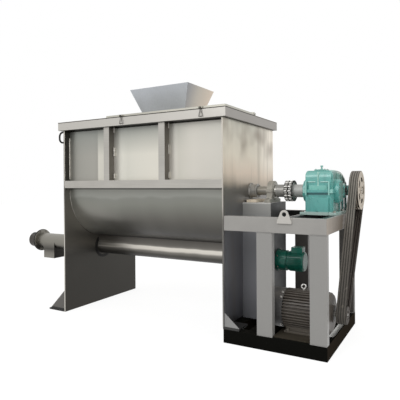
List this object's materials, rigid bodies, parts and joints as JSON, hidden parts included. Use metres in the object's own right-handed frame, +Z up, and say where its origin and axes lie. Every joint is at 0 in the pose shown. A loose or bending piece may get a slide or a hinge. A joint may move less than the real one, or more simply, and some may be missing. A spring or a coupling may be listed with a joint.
{
  "type": "ribbon blender",
  "caption": "Horizontal ribbon blender: U-trough with lid and inlet hopper, double ribbon agitator, geared belt drive on a stand, and a screw discharge tube under the trough.",
  "frame": {"origin": "on the floor under the agitator shaft, at the underside of the drive stand's first channel", "axes": "+X along the agitator shaft towards the drive, -Y to the side with the lid, +Z up"},
  "size_m": [4.8611, 1.522, 2.9126],
  "materials": {
    "stainless": "brushed stainless steel",
    "bright_steel": "polished steel",
    "grey_paint": "satin grey paint",
    "black_paint": "satin black paint",
    "teal_paint": "gloss teal enamel",
    "green_paint": "gloss dark green enamel",
    "motor_paint": "satin dark grey paint",
    "cast_iron": "primed casting",
    "pulley_iron": "machined cast iron",
    "dark_steel": "oiled dark steel",
    "belt_rubber": "matt rubber",
    "gasket_rubber": "matt rubber",
    "packing": "bare hardboard"
  },
  "bodies": {
    "frame": {"bearing_pedestal": "grey_paint", "discharge_trough": "bright_steel", "drive_bearing": "cast_iron", "drive_belts": "belt_rubber", "drive_end_foot": "stainless", "drive_end_plate": "stainless", "drive_seal_housing": "cast_iron", "fan_cowl": "motor_paint", "far_bearing": "cast_iron", "far_bearing_bracket": "stainless", "far_end_foot": "stainless", "far_end_plate": "stainless", "far_plate_handle": "bright_steel", "far_seal_housing": "cast_iron", "fixed_cover": "stainless", "front_inner_post": "grey_paint", "front_outer_post": "grey_paint", "front_panel_frame": "stainless", "hinge_pin": "bright_steel", "inlet_hopper": "stainless", "motor_end_bell": "motor_paint", "motor_frame": "motor_paint", "motor_terminal_box": "motor_paint", "outlet_tube": "stainless", "packing_plate": "packing", "rear_inner_post": "grey_paint", "rear_outer_post": "grey_paint", "rear_panel_frame": "stainless", "reducer_case": "teal_paint", "reducer_cover": "teal_paint", "reducer_inspection_cover": "teal_paint", "screw_end_housing": "stainless", "screw_gear_head": "green_paint", "screw_motor": "green_paint", "screw_shaft_seal": "cast_iron", "screw_terminal_box": "green_paint", "stand_base_frame": "black_paint", "stand_lifting_lug": "grey_paint", "stand_top_frame": "grey_paint", "top_rim_frame": "stainless", "trough_shell": "stainless"},
    "agitator": {"agitator_shaft": "stainless", "outer_ribbon_1": "stainless", "outer_ribbon_2": "stainless", "inner_ribbon_1": "stainless", "inner_ribbon_2": "stainless", "coupling_hub_agitator": "dark_steel", "coupling_hub_reducer": "dark_steel", "coupling_chain": "dark_steel", "reducer_output_shaft": "bright_steel"},
    "reducer_input": {"reducer_input_shaft": "bright_steel", "driven_pulley": "pulley_iron"},
    "motor_rotor": {"motor_shaft": "bright_steel", "cooling_fan": "motor_paint", "motor_pulley": "pulley_iron"},
    "discharge_screw": {"screw_auger": "stainless"},
    "lid": {"access_lid": "stainless", "lid_gasket": "gasket_rubber"},
    "clamp_1": {"lid_clamp_1": "bright_steel"},
    "clamp_2": {"lid_clamp_2": "bright_steel"}
  },
  "joints": [
    {"name": "agitator_spin", "type": "hinge", "parent": "frame", "child": "agitator", "pos_m": [0, 0, 1.545], "axis": [1, 0, 0], "continuous": true},
    {"name": "reducer_input_spin", "type": "hinge", "parent": "frame", "child": "reducer_input", "pos_m": [1.06, 0.4, 1.545], "axis": [1, 0, 0], "continuous": true},
    {"name": "motor_spin", "type": "hinge", "parent": "frame", "child": "motor_rotor", "pos_m": [1.06, -0.36, 0.3521], "axis": [1, 0, 0], "continuous": true},
    {"name": "screw_spin", "type": "hinge", "parent": "frame", "child": "discharge_screw", "pos_m": [0, 0, 0.77], "axis": [1, 0, 0], "continuous": true},
    {"name": "lid_hinge", "type": "hinge", "parent": "frame", "child": "lid", "pos_m": [-0.7915, 0, 2.4466], "axis": [-1, 0, 0], "range_deg": [0, 80]},
    {"name": "clamp_1_swing", "type": "hinge", "parent": "lid", "child": "clamp_1", "pos_m": [-1.3503, -0.762, 2.4286], "axis": [-1, 0, 0], "range_deg": [0, 95]},
    {"name": "clamp_2_swing", "type": "hinge", "parent": "lid", "child": "clamp_2", "pos_m": [-0.28494, -0.762, 2.4286], "axis": [-1, 0, 0], "range_deg": [0, 95]}
  ],
  "couplings": [
    {"joint": "reducer_input_spin", "follows": "agitator_spin", "ratio": 23.34},
    {"joint": "motor_spin", "follows": "agitator_spin", "ratio": 59.04}
  ]
}
